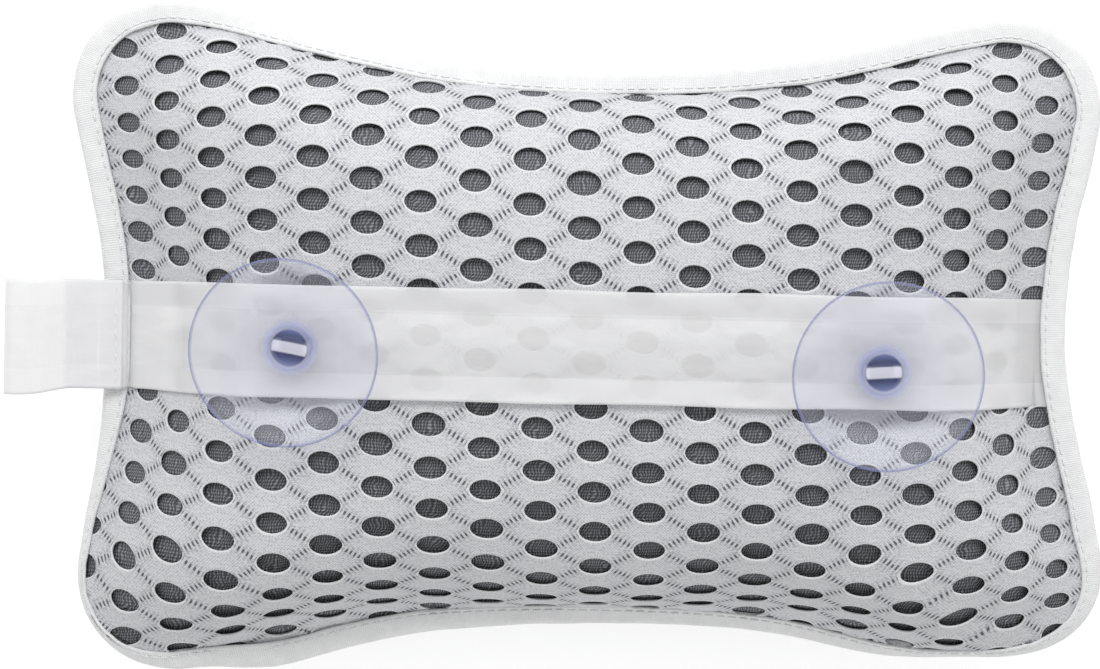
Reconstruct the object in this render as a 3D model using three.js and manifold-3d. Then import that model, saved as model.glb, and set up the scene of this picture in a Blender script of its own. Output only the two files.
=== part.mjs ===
import * as THREE from 'three';
import { mergeVertices } from 'three/addons/utils/BufferGeometryUtils.js';
import Module from 'manifold-3d';

// A stuffed bath pillow that lies on its front with its suction cups up.
// Millimetres, +Z up, +X along the pillow. The hanging loop is at -X.
// The origin is on the resting face, under the middle of the pillow.

// Outline over the binding: four corner arcs joined by sides that draw in
const pillowLength = 286;
const pillowWidth = 184;
const longSideDip = 15;
const shortSideDip = 9;
const cornerRadius = 25;

// Stuffed body
const backHeight = 34; // crown of the cup side above the seam
const frontHeight = 30; // seam above the resting face
const restFlattening = 3; // height that the front's crown loses where it rests
const meshThickness = 3;
const flangeThickness = 1.6; // mesh pressed flat inside the binding

// The crown falls as (1 - share^shoulder)^edge from the middle to the seam
const shoulderAcross = 4;
const shoulderAlong = 7;
const edgeAcross = 0.65;
const edgeAlong = 2;

// Binding tape, folded round the seam
const bindingWidth = 7;
const tapeThickness = 0.8;
const tapeFoldRoom = 1; // from the tape's fold to the edge of the panels
const threadDiameter = 0.6;
const threadFromTapeEdge = 1.4;

// Strap across the back
const strapWidth = 30;
const strapThickness = 0.6;
const strapTuck = 4.5; // length of the right end under the binding
const slotLength = 11;

// Hanging loop, a folded strip of the same cloth
const loopLength = 25.4;
const loopWidth = 32;
const loopHeight = 8;
const loopSewnLength = 4; // both ends of the strip, sewn flat together
const loopSwellStart = 0.6; // share of the open length where it swells
const loopSwell = 1.34;

// Suction cups
const cupSpacing = 156;
const cupDiameter = 50;
const cupDepth = 11.5;
const cupWall = 2.6; // at the middle
const cupLip = 0.9; // at the rim
const cupLand = 1; // flat ring of the rim that meets the tile
const cupOutsideCurve = 1.7; // powers of the radius that the bell's two faces follow
const cupInsideCurve = 2;
const collarDiameter = 11;
const neckDiameter = 6.5;
const headDiameter = 11;
const headThickness = 6;
const headRounding = 1.2;
const sideHoleDiameter = 3.6; // through the head, for a hook
const leftCup = { name: 'left_suction_cup', side: -1, offset: -1, tilt: 9, turn: -9 };
const rightCup = { name: 'right_suction_cup', side: 1, offset: -4.5, tilt: 6, turn: 4 };

// Dimples that the cups' heads press into the back
const dimpleReach = 21;
const dimpleFloorReach = 11.5;
const dimpleFacet = 2.5; // flat floor round the head

const clearance = 0.3;
const slopeClearance = 0.4; // straight up from a sloping skin

// Facets, with shares of the way along an arc, out to the cups and from the cups to the seam
const shortSideShares = [0, 0.24, 0.6];
const middleRings = [0.4, 0.75];
const seamRings = [0.38, 0.68, 0.88, 1];
const innerSeamRings = [0.5, 1];
const cornerSteps = 6;
const longSideSteps = 4;
const threadSides = 6;
const sideHoleSides = 16;
const cupSides = 40;
const cupWallSteps = 6;
const loopSteps = 8;

const wasm = await Module();
wasm.setup();

function solidOf(geometry) {
  const bare = geometry.clone();
  bare.deleteAttribute('normal');
  bare.deleteAttribute('uv');
  const merged = mergeVertices(bare);
  const vertProperties = new Float32Array(merged.attributes.position.array);
  const triVerts = new Uint32Array(merged.index.array);
  return new wasm.Manifold(new wasm.Mesh({ numProp: 3, vertProperties, triVerts }));
}

function cutFrom(geometry, cutters) {
  const cut = cutters.reduce((rest, cutter) => rest.subtract(solidOf(cutter)), solidOf(geometry));
  const mesh = cut.getMesh();
  const result = new THREE.BufferGeometry();
  result.setAttribute('position', new THREE.BufferAttribute(mesh.vertProperties, 3));
  result.setIndex(new THREE.BufferAttribute(mesh.triVerts, 1));
  result.computeVertexNormals();
  return result;
}

// A closed solid through loops of points. A loop of one point closes an end,
// and joined closes the last loop onto the first.
function loft(loops, joined = false) {
  const positions = [];
  const firsts = loops.map((loop) => {
    const first = positions.length / 3;
    loop.forEach((point) => positions.push(point.x, point.y, point.z));
    return first;
  });
  const count = Math.max(...loops.map((loop) => loop.length));
  const bands = joined ? loops.length : loops.length - 1;
  const corner = (loop, step) => firsts[loop] + (step % count) % loops[loop].length;
  const triangles = [];
  for (let band = 0; band < bands; band += 1) {
    const next = (band + 1) % loops.length;
    const inward = loops[next][0].x < loops[band][0].x; // facing skins then split their quads alike
    for (let step = 0; step < count; step += 1) {
      const here = corner(band, step);
      const beside = corner(band, step + 1);
      const below = corner(next, step);
      const across = corner(next, step + 1);
      const first = inward ? [here, below, beside] : [here, across, beside];
      const second = inward ? [beside, below, across] : [here, below, across];
      if (new Set(first).size === 3) triangles.push(...first);
      if (new Set(second).size === 3) triangles.push(...second);
    }
  }
  const geometry = new THREE.BufferGeometry();
  geometry.setAttribute('position', new THREE.Float32BufferAttribute(positions, 3));
  geometry.setIndex(triangles);
  geometry.computeVertexNormals();
  return geometry;
}

// A flat shape in the XZ plane, given a width along Y about its own middle
function acrossSheet(shape, width) {
  const geometry = new THREE.ExtrudeGeometry(shape, {
    depth: width,
    bevelEnabled: false,
    curveSegments: loopSteps,
  });
  return geometry.rotateX(Math.PI / 2).translate(0, width / 2, 0);
}

// Outline arcs. A side that draws in is one arc, tangent to both corner arcs.
const halfLength = pillowLength / 2;
const halfWidth = pillowWidth / 2;
const cornerX = halfLength - cornerRadius;
const cornerY = halfWidth - cornerRadius;

function sideArc(dip, reach) {
  const drop = cornerRadius - dip;
  const radius = (reach ** 2 + drop ** 2 - cornerRadius ** 2) / (2 * dip);
  return { radius, end: Math.atan2(reach, radius + drop) };
}

const shortArc = sideArc(shortSideDip, cornerY);
const longArc = sideArc(longSideDip, cornerX);
const shortSideX = halfLength - shortSideDip;
const longSideY = halfWidth - longSideDip;

// The outline drawn in by inset, counterclockwise from the middle of the right side
function outline(inset) {
  const quarter = [];
  const shortRadius = shortArc.radius + inset;
  shortSideShares.forEach((share) => {
    const angle = share * shortArc.end;
    const x = shortSideX + shortArc.radius - shortRadius * Math.cos(angle);
    quarter.push(new THREE.Vector2(x, shortRadius * Math.sin(angle)));
  });
  const cornerSweep = Math.PI / 2 + shortArc.end + longArc.end;
  for (let step = 0; step <= cornerSteps; step += 1) {
    const angle = (step / cornerSteps) * cornerSweep - shortArc.end;
    const x = cornerX + (cornerRadius - inset) * Math.cos(angle);
    quarter.push(new THREE.Vector2(x, cornerY + (cornerRadius - inset) * Math.sin(angle)));
  }
  const longRadius = longArc.radius + inset;
  for (let step = 1; step <= longSideSteps; step += 1) {
    const angle = (1 - step / longSideSteps) * longArc.end;
    const y = longSideY + longArc.radius - longRadius * Math.cos(angle);
    quarter.push(new THREE.Vector2(longRadius * Math.sin(angle), y));
  }
  const turned = (signX, signY) =>
    quarter.map((point) => new THREE.Vector2(signX * point.x, signY * point.y));
  return [
    ...quarter,
    ...turned(-1, 1).reverse().slice(1),
    ...turned(-1, -1).slice(1),
    ...turned(1, -1).reverse().slice(1, -1),
  ];
}

const ringAt = (inset, z) => outline(inset).map((point) => new THREE.Vector3(point.x, point.y, z));

// Levels and insets of the seam, from the middle of its two layers
const seamLevel = frontHeight;
const layerLevel = clearance / 2;
const flangeLevel = layerLevel + flangeThickness;
const slotLevel = flangeLevel + clearance;
const tapeLevel = slotLevel + tapeThickness;
const flangeInset = tapeFoldRoom + clearance;
const rimInset = bindingWidth + clearance;
const innerInset = rimInset + meshThickness;
const fillInset = innerInset + clearance;

// Rings of the stuffed forms, as shares of the way from the middle to the seam
const rimX = shortSideX - rimInset;
const cupShare = cupSpacing / 2 / rimX;
const pocketShare = (headDiameter / 2 + dimpleFacet) / rimX;
const dimpleShare = dimpleReach / rimX;
const cupShares = [-dimpleShare, -pocketShare, 0, pocketShare, dimpleShare].map((share) => cupShare + share);
const middleShares = middleRings.map((share) => share * cupShares[0]);
const lastCupShare = cupShares[cupShares.length - 1];
const towardsSeam = (share) => lastCupShare + share * (1 - lastCupShare);
const outerShares = [...middleShares, ...cupShares, ...seamRings.map(towardsSeam)];
const innerShares = [middleShares[1], ...cupShares, ...innerSeamRings.map(towardsSeam)];

// How high the crown stands at a share of the way out towards a point of the seam
function crownRise(seamPoint, share) {
  const along = seamPoint.x ** 2 / seamPoint.lengthSq();
  const shoulder = THREE.MathUtils.lerp(shoulderAcross, shoulderAlong, along);
  const edge = THREE.MathUtils.lerp(edgeAcross, edgeAlong, along);
  return (1 - share ** shoulder) ** edge;
}

// Strap levels. The cups hold it level over their dimples.
const lengthwise = new THREE.Vector2(rimX, 0);
const crownLevel = (share) => seamLevel + flangeLevel + backHeight * crownRise(lengthwise, share);
const strapLift = slopeClearance + strapThickness / 2;
const cupLevel = crownLevel(cupShares[1]) + strapLift;
const steepestTilt = THREE.MathUtils.degToRad(Math.max(leftCup.tilt, rightCup.tilt));
const leanRoom = (diameter) => (diameter / 2) * Math.sin(steepestTilt);
const seatHeight = strapThickness / 2 + clearance + leanRoom(collarDiameter);
const headTop = -(strapThickness / 2 + clearance + leanRoom(headDiameter));
const headBottom = headTop - headThickness;
const pocketLevel = cupLevel + headBottom - leanRoom(headDiameter) - clearance;

// The back draws down to a flat floor under each cup's head
function dimpled(x, y, z, floor) {
  const distance = Math.min(
    ...[leftCup, rightCup].map((cup) => Math.hypot(x - (cup.side * cupSpacing) / 2, y - cup.offset)),
  );
  const depth = 1 - THREE.MathUtils.smoothstep(distance, dimpleFloorReach, dimpleReach);
  return THREE.MathUtils.lerp(z, Math.min(z, floor), depth);
}

function backRing(inset, share, base, height, floor) {
  return outline(inset).map((seamPoint) => {
    const x = share * seamPoint.x;
    const y = share * seamPoint.y;
    return new THREE.Vector3(x, y, dimpled(x, y, base + height * crownRise(seamPoint, share), floor));
  });
}

function frontRing(inset, share, base, height, floor) {
  return outline(inset).map((seamPoint) => {
    const z = Math.max(floor, base - height * crownRise(seamPoint, share));
    return new THREE.Vector3(share * seamPoint.x, share * seamPoint.y, z);
  });
}

const middlePoint = (z) => [new THREE.Vector3(0, 0, z)];

// How much further out the short side's facets reach beside the edges of a centred strip
const edgeBend = (width) => (width / 2) ** 2 / shortArc.radius;

// Where the strap lies: along the crown, level at the cups, over the binding on the left
// and into the seam on the right
const strapStartX = shortSideX + edgeBend(loopWidth);
const strapOverTape = seamLevel + tapeLevel + threadDiameter + 2 * clearance + strapThickness / 2;
const strapInSeam = seamLevel + flangeLevel - strapThickness / 2;
const strapEndX = shortSideX - bindingWidth + strapTuck;
const lastShare = outerShares[outerShares.length - 2];

function strapPath() {
  const half = outerShares.slice(0, -1).map((share, index) => {
    const atCup = index > middleShares.length && index < outerShares.indexOf(lastCupShare);
    const x = share * (rimX + edgeBend(strapWidth));
    return new THREE.Vector2(x, atCup ? cupLevel : crownLevel(share) + strapLift);
  });
  const left = half.slice(0, -1).reverse().map((point) => new THREE.Vector2(-point.x, point.y));
  return [
    new THREE.Vector2(-strapStartX, strapOverTape),
    new THREE.Vector2(-rimX, strapOverTape),
    ...left,
    new THREE.Vector2(0, crownLevel(0) + strapLift),
    ...half,
    new THREE.Vector2(rimX, strapInSeam),
    new THREE.Vector2(strapEndX, strapInSeam),
  ];
}

function stripShape(path, thickness) {
  const top = path.map((point) => new THREE.Vector2(point.x, point.y + thickness / 2));
  const bottom = path.map((point) => new THREE.Vector2(point.x, point.y - thickness / 2));
  return new THREE.Shape([...bottom, ...top.reverse()]);
}

function suctionCupStrap() {
  const slotWidth = neckDiameter + 2 * (clearance + leanRoom(strapThickness));
  const slots = [leftCup, rightCup].map((cup) => {
    const straight = (slotLength - slotWidth) / 2;
    const slot = new THREE.Shape();
    slot.absarc(straight, 0, slotWidth / 2, -Math.PI / 2, Math.PI / 2);
    slot.absarc(-straight, 0, slotWidth / 2, Math.PI / 2, (3 * Math.PI) / 2);
    const depth = 4 * strapThickness;
    const cutter = new THREE.ExtrudeGeometry(slot, { depth, bevelEnabled: false, curveSegments: loopSteps });
    return cutter.translate((cup.side * cupSpacing) / 2, cup.offset, cupLevel - depth / 2);
  });
  return cutFrom(acrossSheet(stripShape(strapPath(), strapThickness), strapWidth), slots);
}

// The strap's end lies in a pressed recess of the back panel's flange
function strapRecess() {
  const bottom = strapInSeam - strapThickness / 2 - clearance;
  const start = new THREE.Vector2(lastShare * rimX, crownLevel(lastShare));
  const end = strapEndX + clearance;
  const over = start.y + meshThickness;
  const shape = new THREE.Shape([
    start,
    new THREE.Vector2(rimX - clearance, bottom),
    new THREE.Vector2(end, bottom),
    new THREE.Vector2(end, over),
    new THREE.Vector2(start.x, over),
  ]);
  return acrossSheet(shape, strapWidth + 2 * clearance);
}

function backMeshPanel() {
  const top = seamLevel + flangeLevel;
  const under = seamLevel + layerLevel;
  const innerHeight = top + backHeight - meshThickness - under;
  const shell = loft([
    middlePoint(top + backHeight),
    ...outerShares.map((share) => backRing(rimInset, share, top, backHeight, pocketLevel)),
    ringAt(flangeInset, top),
    ringAt(flangeInset, under),
    ...innerShares
      .map((share) => backRing(innerInset, share, under, innerHeight, pocketLevel - meshThickness))
      .reverse(),
    middlePoint(under + innerHeight),
  ]);
  return cutFrom(shell, [strapRecess()]);
}

const frontCrown = frontHeight + restFlattening;

function frontMeshPanel() {
  const over = seamLevel - layerLevel;
  const under = seamLevel - flangeLevel;
  const innerHeight = frontCrown - layerLevel - meshThickness;
  const outerHeight = frontCrown - flangeLevel;
  return loft([
    middlePoint(meshThickness),
    ...innerShares.map((share) => frontRing(innerInset, share, over, innerHeight, meshThickness)),
    ringAt(flangeInset, over),
    ringAt(flangeInset, under),
    ...outerShares.map((share) => frontRing(rimInset, share, under, outerHeight, 0)).reverse(),
    middlePoint(0),
  ]);
}

function fibreFill() {
  const skin = meshThickness + clearance;
  const backFill = flangeLevel + backHeight - skin;
  const frontFill = frontCrown - skin;
  const frontShares = innerShares.slice(0, -1).reverse();
  return loft([
    middlePoint(seamLevel + backFill),
    ...innerShares.map((share) => backRing(fillInset, share, seamLevel, backFill, pocketLevel - skin)),
    ...frontShares.map((share) => frontRing(fillInset, share, seamLevel, frontFill, skin)),
    middlePoint(skin),
  ]);
}

// The tape's section: outside from the upper edge round the fold, then back inside the slot
function edgeBinding() {
  const fold = tapeLevel;
  const outside = [90, 60, 30, 0, -30, -60, -90].map((degrees) => {
    const angle = THREE.MathUtils.degToRad(degrees);
    return [fold * (1 - Math.cos(angle)), fold * Math.sin(angle)];
  });
  const section = [
    [bindingWidth, tapeLevel],
    ...outside,
    [bindingWidth, -tapeLevel],
    [bindingWidth, -slotLevel],
    [tapeFoldRoom, -slotLevel],
    [tapeFoldRoom, slotLevel],
    [bindingWidth, slotLevel],
  ];
  return loft(section.map(([inset, level]) => ringAt(inset, seamLevel + level)), true);
}

// One row of stitching round the binding
function bindingThread(level) {
  const radius = threadDiameter / 2;
  const section = Array.from({ length: threadSides }, (unused, side) => {
    const angle = (-2 * Math.PI * side) / threadSides;
    const inset = bindingWidth - threadFromTapeEdge - radius * Math.cos(angle);
    return ringAt(inset, level + radius * Math.sin(angle));
  });
  return loft(section, true);
}

function strapEndThread() {
  const radius = threadDiameter / 2;
  const length = strapWidth - 2 * threadFromTapeEdge;
  const level = strapOverTape + strapThickness / 2 + clearance + radius;
  const thread = new THREE.CylinderGeometry(radius, radius, length, threadSides);
  return thread.translate(-shortSideX + bindingWidth / 2, 0, level);
}

// The open length of the folded strip, from where it leaves the sewn ends and back to there
function addDrop(path, startHalf, end, half) {
  const swell = loopSewnLength + (end - loopSewnLength) * loopSwellStart;
  const bulge = half * loopSwell;
  path.bezierCurveTo(-swell, startHalf, -swell, bulge, half - end, half);
  path.absarc(half - end, 0, half, Math.PI / 2, (3 * Math.PI) / 2);
  path.bezierCurveTo(-swell, -bulge, -swell, -startHalf, -loopSewnLength, -startHalf);
}

function hangingLoop() {
  const half = loopHeight / 2;
  const outside = new THREE.Shape();
  outside.absarc(0, 0, strapThickness, -Math.PI / 2, Math.PI / 2);
  outside.lineTo(-loopSewnLength, strapThickness);
  addDrop(outside, strapThickness, loopLength, half);
  const inside = new THREE.Path();
  inside.moveTo(-loopSewnLength, 0);
  addDrop(inside, 0, loopLength - strapThickness, half - strapThickness);
  outside.holes.push(inside);
  return acrossSheet(outside, loopWidth);
}

// One moulding: a bored head and a neck that button through the strap, and the thin bell
function suctionCup() {
  const rim = cupDiameter / 2;
  const collar = collarDiameter / 2;
  const head = headDiameter / 2;
  const neck = neckDiameter / 2;
  const lipLevel = seatHeight + cupDepth;
  const profile = [
    [0, headBottom],
    [head - headRounding, headBottom],
    [head, headBottom + headRounding],
    [head, headTop - headRounding / 2],
    [head - headRounding / 2, headTop],
    [neck, headTop],
    [neck, seatHeight],
  ];
  for (let step = 0; step <= cupWallSteps; step += 1) {
    const share = step / cupWallSteps;
    profile.push([collar + (rim - collar) * share, seatHeight + (cupDepth - cupLip) * share ** cupOutsideCurve]);
  }
  profile.push([rim, lipLevel]);
  for (let step = cupWallSteps; step >= 0; step -= 1) {
    const share = step / cupWallSteps;
    profile.push([(rim - cupLand) * share, seatHeight + cupWall + (cupDepth - cupWall) * share ** cupInsideCurve]);
  }
  const points = profile.map(([radius, level]) => new THREE.Vector2(radius, level));
  const moulding = new THREE.LatheGeometry(points, cupSides).rotateX(Math.PI / 2);
  const hole = sideHoleDiameter / 2;
  const bore = new THREE.CylinderGeometry(hole, hole, 2 * headDiameter, sideHoleSides).rotateZ(Math.PI / 2);
  return cutFrom(moulding, [bore.translate(0, 0, headTop - headThickness / 2)]);
}

const pillow = new THREE.Group();

function addPiece(name, geometry, finish, holder = pillow) {
  const piece = new THREE.Mesh(geometry, new THREE.MeshStandardMaterial(finish));
  piece.name = name;
  holder.add(piece);
}

const meshFinish = { color: 0xd9dade, roughness: 0.9, metalness: 0 };
const tapeFinish = { color: 0xf1f1f2, roughness: 0.85, metalness: 0 };
const strapFinish = { color: 0xececee, roughness: 0.7, metalness: 0, transparent: true, opacity: 0.85 };
const threadFinish = { color: 0xf4f4f4, roughness: 0.8, metalness: 0 };
const fillFinish = { color: 0xf6f6f4, roughness: 1, metalness: 0 };
const cupFinish = { color: 0xc9cff2, roughness: 0.12, metalness: 0, transparent: true, opacity: 0.35 };

addPiece('back_mesh_panel', backMeshPanel(), meshFinish);
addPiece('front_mesh_panel', frontMeshPanel(), meshFinish);
addPiece('fibre_fill', fibreFill(), fillFinish);
addPiece('edge_binding', edgeBinding(), tapeFinish);

const threadLevel = tapeLevel + clearance + threadDiameter / 2;
addPiece('binding_thread_back', bindingThread(seamLevel + threadLevel), threadFinish);
addPiece('binding_thread_front', bindingThread(seamLevel - threadLevel), threadFinish);
addPiece('suction_cup_strap', suctionCupStrap(), strapFinish);
addPiece('strap_end_thread', strapEndThread(), threadFinish);

const loopHolder = new THREE.Group();
loopHolder.position.set(-strapStartX - clearance - strapThickness, 0, strapOverTape);
addPiece('hanging_loop', hangingLoop(), strapFinish, loopHolder);
pillow.add(loopHolder);

[leftCup, rightCup].forEach((cup) => {
  const holder = new THREE.Group();
  holder.position.set((cup.side * cupSpacing) / 2, cup.offset, cupLevel);
  const [lean, spin] = [cup.tilt, cup.turn].map(THREE.MathUtils.degToRad);
  holder.rotation.set(lean, 0, spin);
  addPiece(cup.name, suctionCup(), cupFinish, holder);
  pillow.add(holder);
});

export default pillow;
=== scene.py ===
import math

import bmesh
import bpy
import numpy as np
from mathutils import Matrix, Vector, noise
from mathutils.bvhtree import BVHTree


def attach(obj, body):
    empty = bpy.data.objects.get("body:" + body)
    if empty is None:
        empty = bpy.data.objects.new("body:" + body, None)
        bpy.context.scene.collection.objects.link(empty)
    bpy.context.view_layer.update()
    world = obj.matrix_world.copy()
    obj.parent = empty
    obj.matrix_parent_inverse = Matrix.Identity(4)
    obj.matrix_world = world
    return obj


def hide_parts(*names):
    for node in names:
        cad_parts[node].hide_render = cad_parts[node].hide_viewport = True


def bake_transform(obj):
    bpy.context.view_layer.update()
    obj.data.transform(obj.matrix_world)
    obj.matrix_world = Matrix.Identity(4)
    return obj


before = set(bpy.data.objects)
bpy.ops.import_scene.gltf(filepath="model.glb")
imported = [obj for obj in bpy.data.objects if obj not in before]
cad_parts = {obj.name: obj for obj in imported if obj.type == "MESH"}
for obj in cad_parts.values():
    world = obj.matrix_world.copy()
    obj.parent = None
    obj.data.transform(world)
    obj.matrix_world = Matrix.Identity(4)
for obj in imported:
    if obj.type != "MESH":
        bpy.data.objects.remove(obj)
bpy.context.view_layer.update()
scene = bpy.context.scene
mm = 0.001  # shapes are worked out in millimetres and stored in metres
print("frame loaded:", len(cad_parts), "CAD nodes")

# The stuffed form, as the CAD model has it
pillow = {
    "length": 286, "width": 184, "longSideDip": 15, "shortSideDip": 9, "cornerRadius": 25,
    "seamLevel": 30, "flange": 1.75, "rimInset": 7.3,
    "backHeight": 34, "frontHeight": 31.25,
    "shoulderAcross": 4, "shoulderAlong": 7, "edgeAcross": 0.65, "edgeAlong": 2,
    "pocketLevel": 56.77, "pocketFloor": 11.5, "pocketReach": 21,
    "give": (0.5405, 0.6963),  # share of a slope, along and across, that lengthens the cloth
}

# A stuffed pillow never lies quite even: the soft body tapers, bows and turns a little in the frame, and its
# filling pushes the outline out or lets it draw in: (share of the walk round the edge, mm)
settle = {
    "shrink": 0.0073, "taper": 0.0228, "taperReach": 118, "bow": 2.84, "bowReach": 130, "turn": 1.034,
    "shift": (0.28, 1.86), "fullFrom": 0.5, "smoothing": 6,
    "fullness": ((0, -0.6), (0.03, 0), (0.055, 1.2), (0.08, -0.4), (0.115, -0.5), (0.14, 1), (0.18, -0.7),
                 (0.235, 0.5), (0.3, 0), (0.335, 0.6), (0.365, 2.3), (0.385, 0), (0.42, 0), (0.445, 1.2), (0.475, 0),
                 (0.52, 0.3), (0.555, 1.1), (0.575, -0.5), (0.6, -0.8), (0.62, -0.3), (0.635, 2.2), (0.652, 5.4),
                 (0.665, 4.6), (0.68, 2.7), (0.7, 1.1), (0.74, 0.8), (0.79, 1.4), (0.81, 2.3), (0.825, 4.2),
                 (0.84, 5.6), (0.855, 4.8), (0.87, 1.7), (0.882, -0.3), (0.9, 1.2), (0.91, 2.2), (0.93, 1.4),
                 (0.95, 2.5), (0.97, 1.1), (0.99, -0.3), (1, -0.6)),
}

cupPlaces = {"left": (-78, -1), "right": (78, -4.5)}


def lie(x, y):
    x, y = filledOut(x, y)
    y = y * (1 - settle["shrink"] - settle["taper"] * x / settle["taperReach"])
    y = y - settle["bow"] * np.cos(np.clip(x / settle["bowReach"], -1, 1) * math.pi / 2) ** 2
    turn = math.radians(settle["turn"])
    c, s = math.cos(turn), math.sin(turn)
    return x * c - y * s + settle["shift"][0], x * s + y * c + settle["shift"][1]


def unlie(x, y):
    backX, backY = x, y
    for _ in range(6):
        movedX, movedY = lie(backX, backY)
        backX, backY = backX + x - movedX, backY + y - movedY
    return backX, backY


def smoothStep(low, high, value):
    t = np.clip((value - low) / (high - low), 0, 1)
    return t * t * (3 - 2 * t)


def plateau(ends, value):
    return smoothStep(*ends[:2], value) * (1 - smoothStep(*ends[2:], value))


# Outline: corner arcs joined by sides that draw in
def sideArc(dip, reach):
    drop = pillow["cornerRadius"] - dip
    radius = (reach ** 2 + drop ** 2 - pillow["cornerRadius"] ** 2) / (2 * dip)
    return radius, math.atan2(reach, radius + drop)


def quarterOutline(inset, shortSteps=60, cornerSteps=60, longSteps=110):
    corner = pillow["cornerRadius"]
    cornerX, cornerY = pillow["length"] / 2 - corner, pillow["width"] / 2 - corner
    shortRadius, shortEnd = sideArc(pillow["shortSideDip"], cornerY)
    longRadius, longEnd = sideArc(pillow["longSideDip"], cornerX)
    a = np.linspace(0, shortEnd, shortSteps + 1)
    sideX = pillow["length"] / 2 - pillow["shortSideDip"] + shortRadius
    short = np.stack([sideX - (shortRadius + inset) * np.cos(a), (shortRadius + inset) * np.sin(a)], -1)
    b = np.linspace(-shortEnd, math.pi / 2 + longEnd, cornerSteps + 1)[1:]
    turn = np.stack([cornerX + (corner - inset) * np.cos(b), cornerY + (corner - inset) * np.sin(b)], -1)
    c = np.linspace(longEnd, 0, longSteps + 1)[1:]
    sideY = pillow["width"] / 2 - pillow["longSideDip"] + longRadius
    long = np.stack([(longRadius + inset) * np.sin(c), sideY - (longRadius + inset) * np.cos(c)], -1)
    return np.concatenate([short, turn, long])


def reachTable(inset):
    points = quarterOutline(inset)
    return np.arctan2(points[:, 1], points[:, 0]), np.hypot(points[:, 0], points[:, 1])


rimTable = reachTable(pillow["rimInset"])


def reachOf(x, y, table):
    return np.interp(np.arctan2(np.abs(y), np.abs(x)), *table)


def rimShare(x, y):
    return np.hypot(x, y) / reachOf(x, y, rimTable)


def crownRise(x, y):
    far = np.hypot(x, y)
    along = np.where(far > 1e-6, x ** 2 / np.maximum(far ** 2, 1e-9), 0.5)
    shoulder = pillow["shoulderAcross"] + (pillow["shoulderAlong"] - pillow["shoulderAcross"]) * along
    edge = pillow["edgeAcross"] + (pillow["edgeAlong"] - pillow["edgeAcross"]) * along
    return (1 - np.clip(rimShare(x, y), 0, 1) ** shoulder) ** edge


def plainBack(x, y):
    return pillow["seamLevel"] + pillow["flange"] + pillow["backHeight"] * crownRise(x, y)


def plainFront(x, y):
    return np.maximum(0, pillow["seamLevel"] - pillow["flange"] - pillow["frontHeight"] * crownRise(x, y))


def dimpled(x, y, z):
    for place in cupPlaces.values():
        centreX, centreY = unlie(*place)
        depth = 1 - smoothStep(pillow["pocketFloor"], pillow["pocketReach"], np.hypot(x - centreX, y - centreY))
        z = z + (np.minimum(z, pillow["pocketLevel"]) - z) * depth
    return z


# The outline as a walk round the edge, anticlockwise from the middle of the right side
def wholeOutline(inset):
    quarter = quarterOutline(inset)
    return np.concatenate([
        quarter, (quarter * (-1, 1))[::-1][1:], (quarter * (-1, -1))[1:], (quarter * (1, -1))[::-1][1:],
    ])


edgePoints, rimPoints = wholeOutline(0), wholeOutline(pillow["rimInset"])
edgeWalk = np.concatenate([[0], np.cumsum(np.hypot(*np.diff(edgePoints, axis=0).T))])
edgeLength = edgeWalk[-1]
edgeAngles, rimAngles = [np.unwrap(np.arctan2(points[:, 1], points[:, 0])) for points in (edgePoints, rimPoints)]
edgeTable = reachTable(0)


def edgeAt(walk):
    ahead, behind = [np.stack([np.interp((walk + d) % edgeLength, edgeWalk, edgePoints[:, k]) for k in (0, 1)], -1)
                     for d in (0.6, -0.6)]
    way = ahead - behind
    way = way / np.linalg.norm(way, axis=-1, keepdims=True)
    return (ahead + behind) / 2, way, np.stack([-way[..., 1], way[..., 0]], -1)


def walkAt(x, y):
    angle = np.arctan2(y, x) % (2 * math.pi)
    rimReach, edgeReach = reachOf(x, y, rimTable), reachOf(x, y, edgeTable)
    out = np.clip((np.hypot(x, y) - rimReach) / (edgeReach - rimReach), 0, 1)
    return np.interp(angle, rimAngles, edgeWalk) * (1 - out) + np.interp(angle, edgeAngles, edgeWalk) * out


def alongWalk(walk, table, smoothing):
    shares, values = zip(*table)
    offsets = np.linspace(-smoothing, smoothing, 7)
    return np.mean([np.interp((walk + offset) % edgeLength / edgeLength, shares, values) for offset in offsets], 0)


def pushedOut(x, y, walk, amount):
    inward = edgeAt(walk)[2]
    return x - amount * inward[..., 0], y - amount * inward[..., 1]


def filledOut(x, y):
    walk = walkAt(x, y)
    swell = alongWalk(walk, settle["fullness"], settle["smoothing"])
    return pushedOut(x, y, walk, swell * smoothStep(settle["fullFrom"], 1, rimShare(x, y)))


# Height fields: the level at each place of the body, its slope, and the length of cloth along and across it
fieldStep = 0.5
fieldX, fieldY = np.arange(-150, 150.1, fieldStep), np.arange(-98, 98.1, fieldStep)
gridX, gridY = np.meshgrid(fieldX, fieldY, indexing="ij")


def makeField(z):
    giveAlong, giveAcross = pillow["give"]
    alongCloth, acrossCloth = np.zeros_like(z), np.zeros_like(z)
    fullX, fullY = filledOut(gridX, gridY)
    alongCloth[1:] = np.cumsum(np.hypot(np.diff(fullX, axis=0), giveAlong * np.diff(z, axis=0)), axis=0)
    acrossCloth[:, 1:] = np.cumsum(np.hypot(np.diff(fullY, axis=1), giveAcross * np.diff(z, axis=1)), axis=1)
    alongCloth -= alongCloth[len(fieldX) // 2]
    acrossCloth -= acrossCloth[:, [len(fieldY) // 2]]
    slopeX, slopeY = np.gradient(z, fieldStep)
    return {"z": z, "along": alongCloth, "across": acrossCloth, "slopeX": slopeX, "slopeY": slopeY}


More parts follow.
